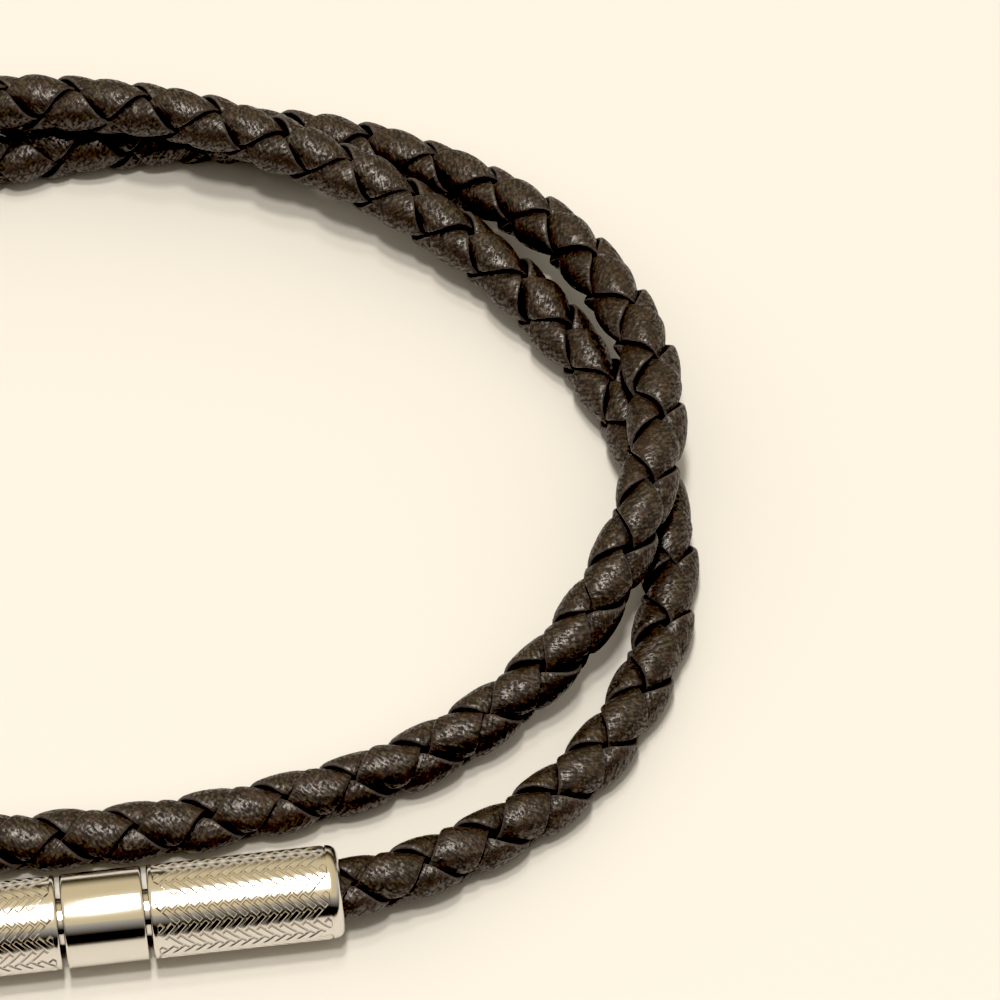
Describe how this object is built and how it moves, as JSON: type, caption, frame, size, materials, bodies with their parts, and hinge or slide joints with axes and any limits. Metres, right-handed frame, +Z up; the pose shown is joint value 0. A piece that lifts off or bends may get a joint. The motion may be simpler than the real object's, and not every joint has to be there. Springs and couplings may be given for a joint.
{
  "type": "leather wrap bracelet",
  "caption": "Long loop of round-braided leather cord, laid in overlapping turns as a wrap bracelet and closed by a straight barrel clasp of polished steel.",
  "frame": {"origin": "middle of the bracelet's outline, on the surface that it lies on", "axes": "+X along the clasp, towards the sleeve that the picture shows; +Y from the clasp across the loop; +Z up from the surface"},
  "size_m": [0.0833, 0.0664, 0.0081],
  "materials": {
    "polished_steel": "polished stainless steel, with a herringbone relief on the sleeves",
    "dark_brown_leather": "dark brown smooth leather with a soft sheen and dark cut edges"
  },
  "bodies": {
    "root": {"end_sleeve_right": "polished_steel", "end_sleeve_left": "polished_steel", "centre_band": "polished_steel", "clasp_core": "polished_steel", "braid_strand_1": "dark_brown_leather", "braid_strand_2": "dark_brown_leather", "braid_strand_3": "dark_brown_leather", "braid_strand_4": "dark_brown_leather"}
  },
  "joints": []
}
